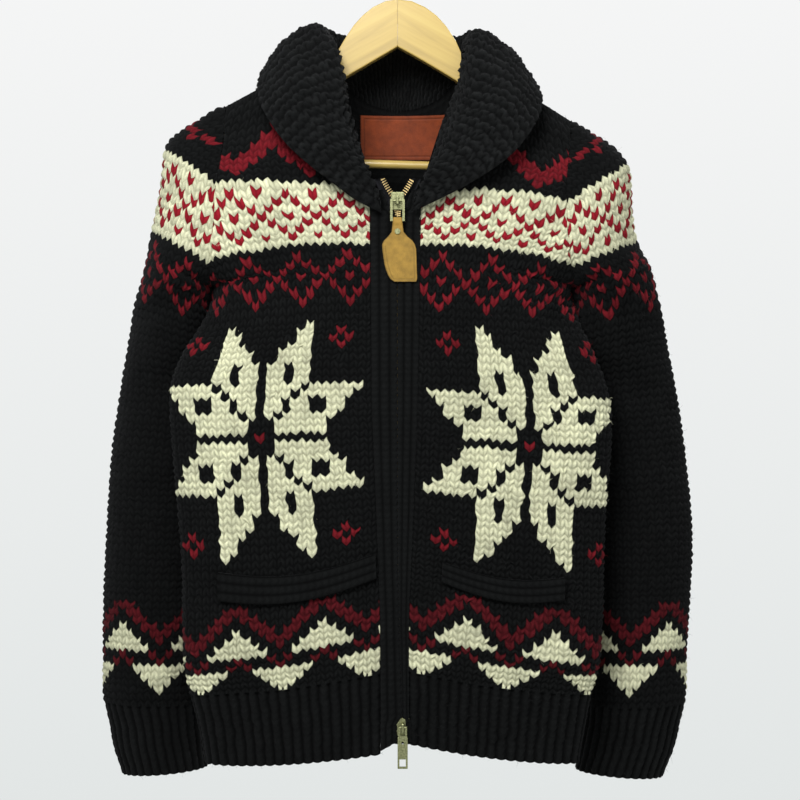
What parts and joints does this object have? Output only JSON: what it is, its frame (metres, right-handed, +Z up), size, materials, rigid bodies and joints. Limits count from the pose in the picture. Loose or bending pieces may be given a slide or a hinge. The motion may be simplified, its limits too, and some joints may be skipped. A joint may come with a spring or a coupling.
{
  "type": "knitted cardigan on a wooden hanger",
  "caption": "Zipped hand-knitted cardigan with a shawl collar, welt pockets and ribbed cuffs, hanging on a wooden hanger with a trouser bar and steel hook",
  "frame": {"origin": "the point inside the top of the hanger's hook where a rail carries it", "axes": "+Z up along the hook's stem, -Y out of the garment's front, +X to the right as seen from the front"},
  "size_m": [0.587, 0.1631, 0.8193],
  "materials": {
    "charcoal_wool": "matt hand-knitted wool, charcoal with cream and red colourwork",
    "rib_wool": "matt ribbed wool",
    "collar_wool": "matt garter-stitch wool",
    "brown_leather": "smooth red-brown leather",
    "tan_leather": "natural tan leather",
    "zip_tape": "woven black tape with metal teeth",
    "aged_metal": "antique nickel over brass",
    "hanger_wood": "clear-lacquered pale wood",
    "hook_steel": "polished steel wire"
  },
  "bodies": {
    "garment": {"back": "charcoal_wool", "front_left": "charcoal_wool", "front_right": "charcoal_wool", "sleeve_left": "charcoal_wool", "sleeve_right": "charcoal_wool", "hem_rib_back": "rib_wool", "hem_rib_left": "rib_wool", "hem_rib_right": "rib_wool", "cuff_left": "rib_wool", "cuff_right": "rib_wool", "front_band_left": "rib_wool", "front_band_right": "rib_wool", "pocket_welt_left": "rib_wool", "pocket_welt_right": "rib_wool", "collar": "collar_wool", "neck_label": "brown_leather", "zip_half_left": "zip_tape", "zip_half_right": "zip_tape", "zip_slider_top": "aged_metal", "zip_slider_bottom": "aged_metal", "hanger_left": "hanger_wood", "hanger_right": "hanger_wood", "hanger_bar": "hanger_wood", "hanger_hook": "hook_steel"},
    "top_pull": {"pull_frame": "aged_metal", "pull_tag": "tan_leather", "pull_rivet": "aged_metal"},
    "bottom_pull": {"pull_tab": "aged_metal"}
  },
  "joints": [
    {"name": "top_pull_hinge", "type": "hinge", "parent": "garment", "child": "top_pull", "pos_m": [0, -0.0661, -0.253], "axis": [-1, 0, 0], "range_deg": [0, 140]},
    {"name": "bottom_pull_hinge", "type": "hinge", "parent": "garment", "child": "bottom_pull", "pos_m": [0.0049, -0.0676, -0.752], "axis": [-1, 0, 0], "range_deg": [0, 140]}
  ]
}
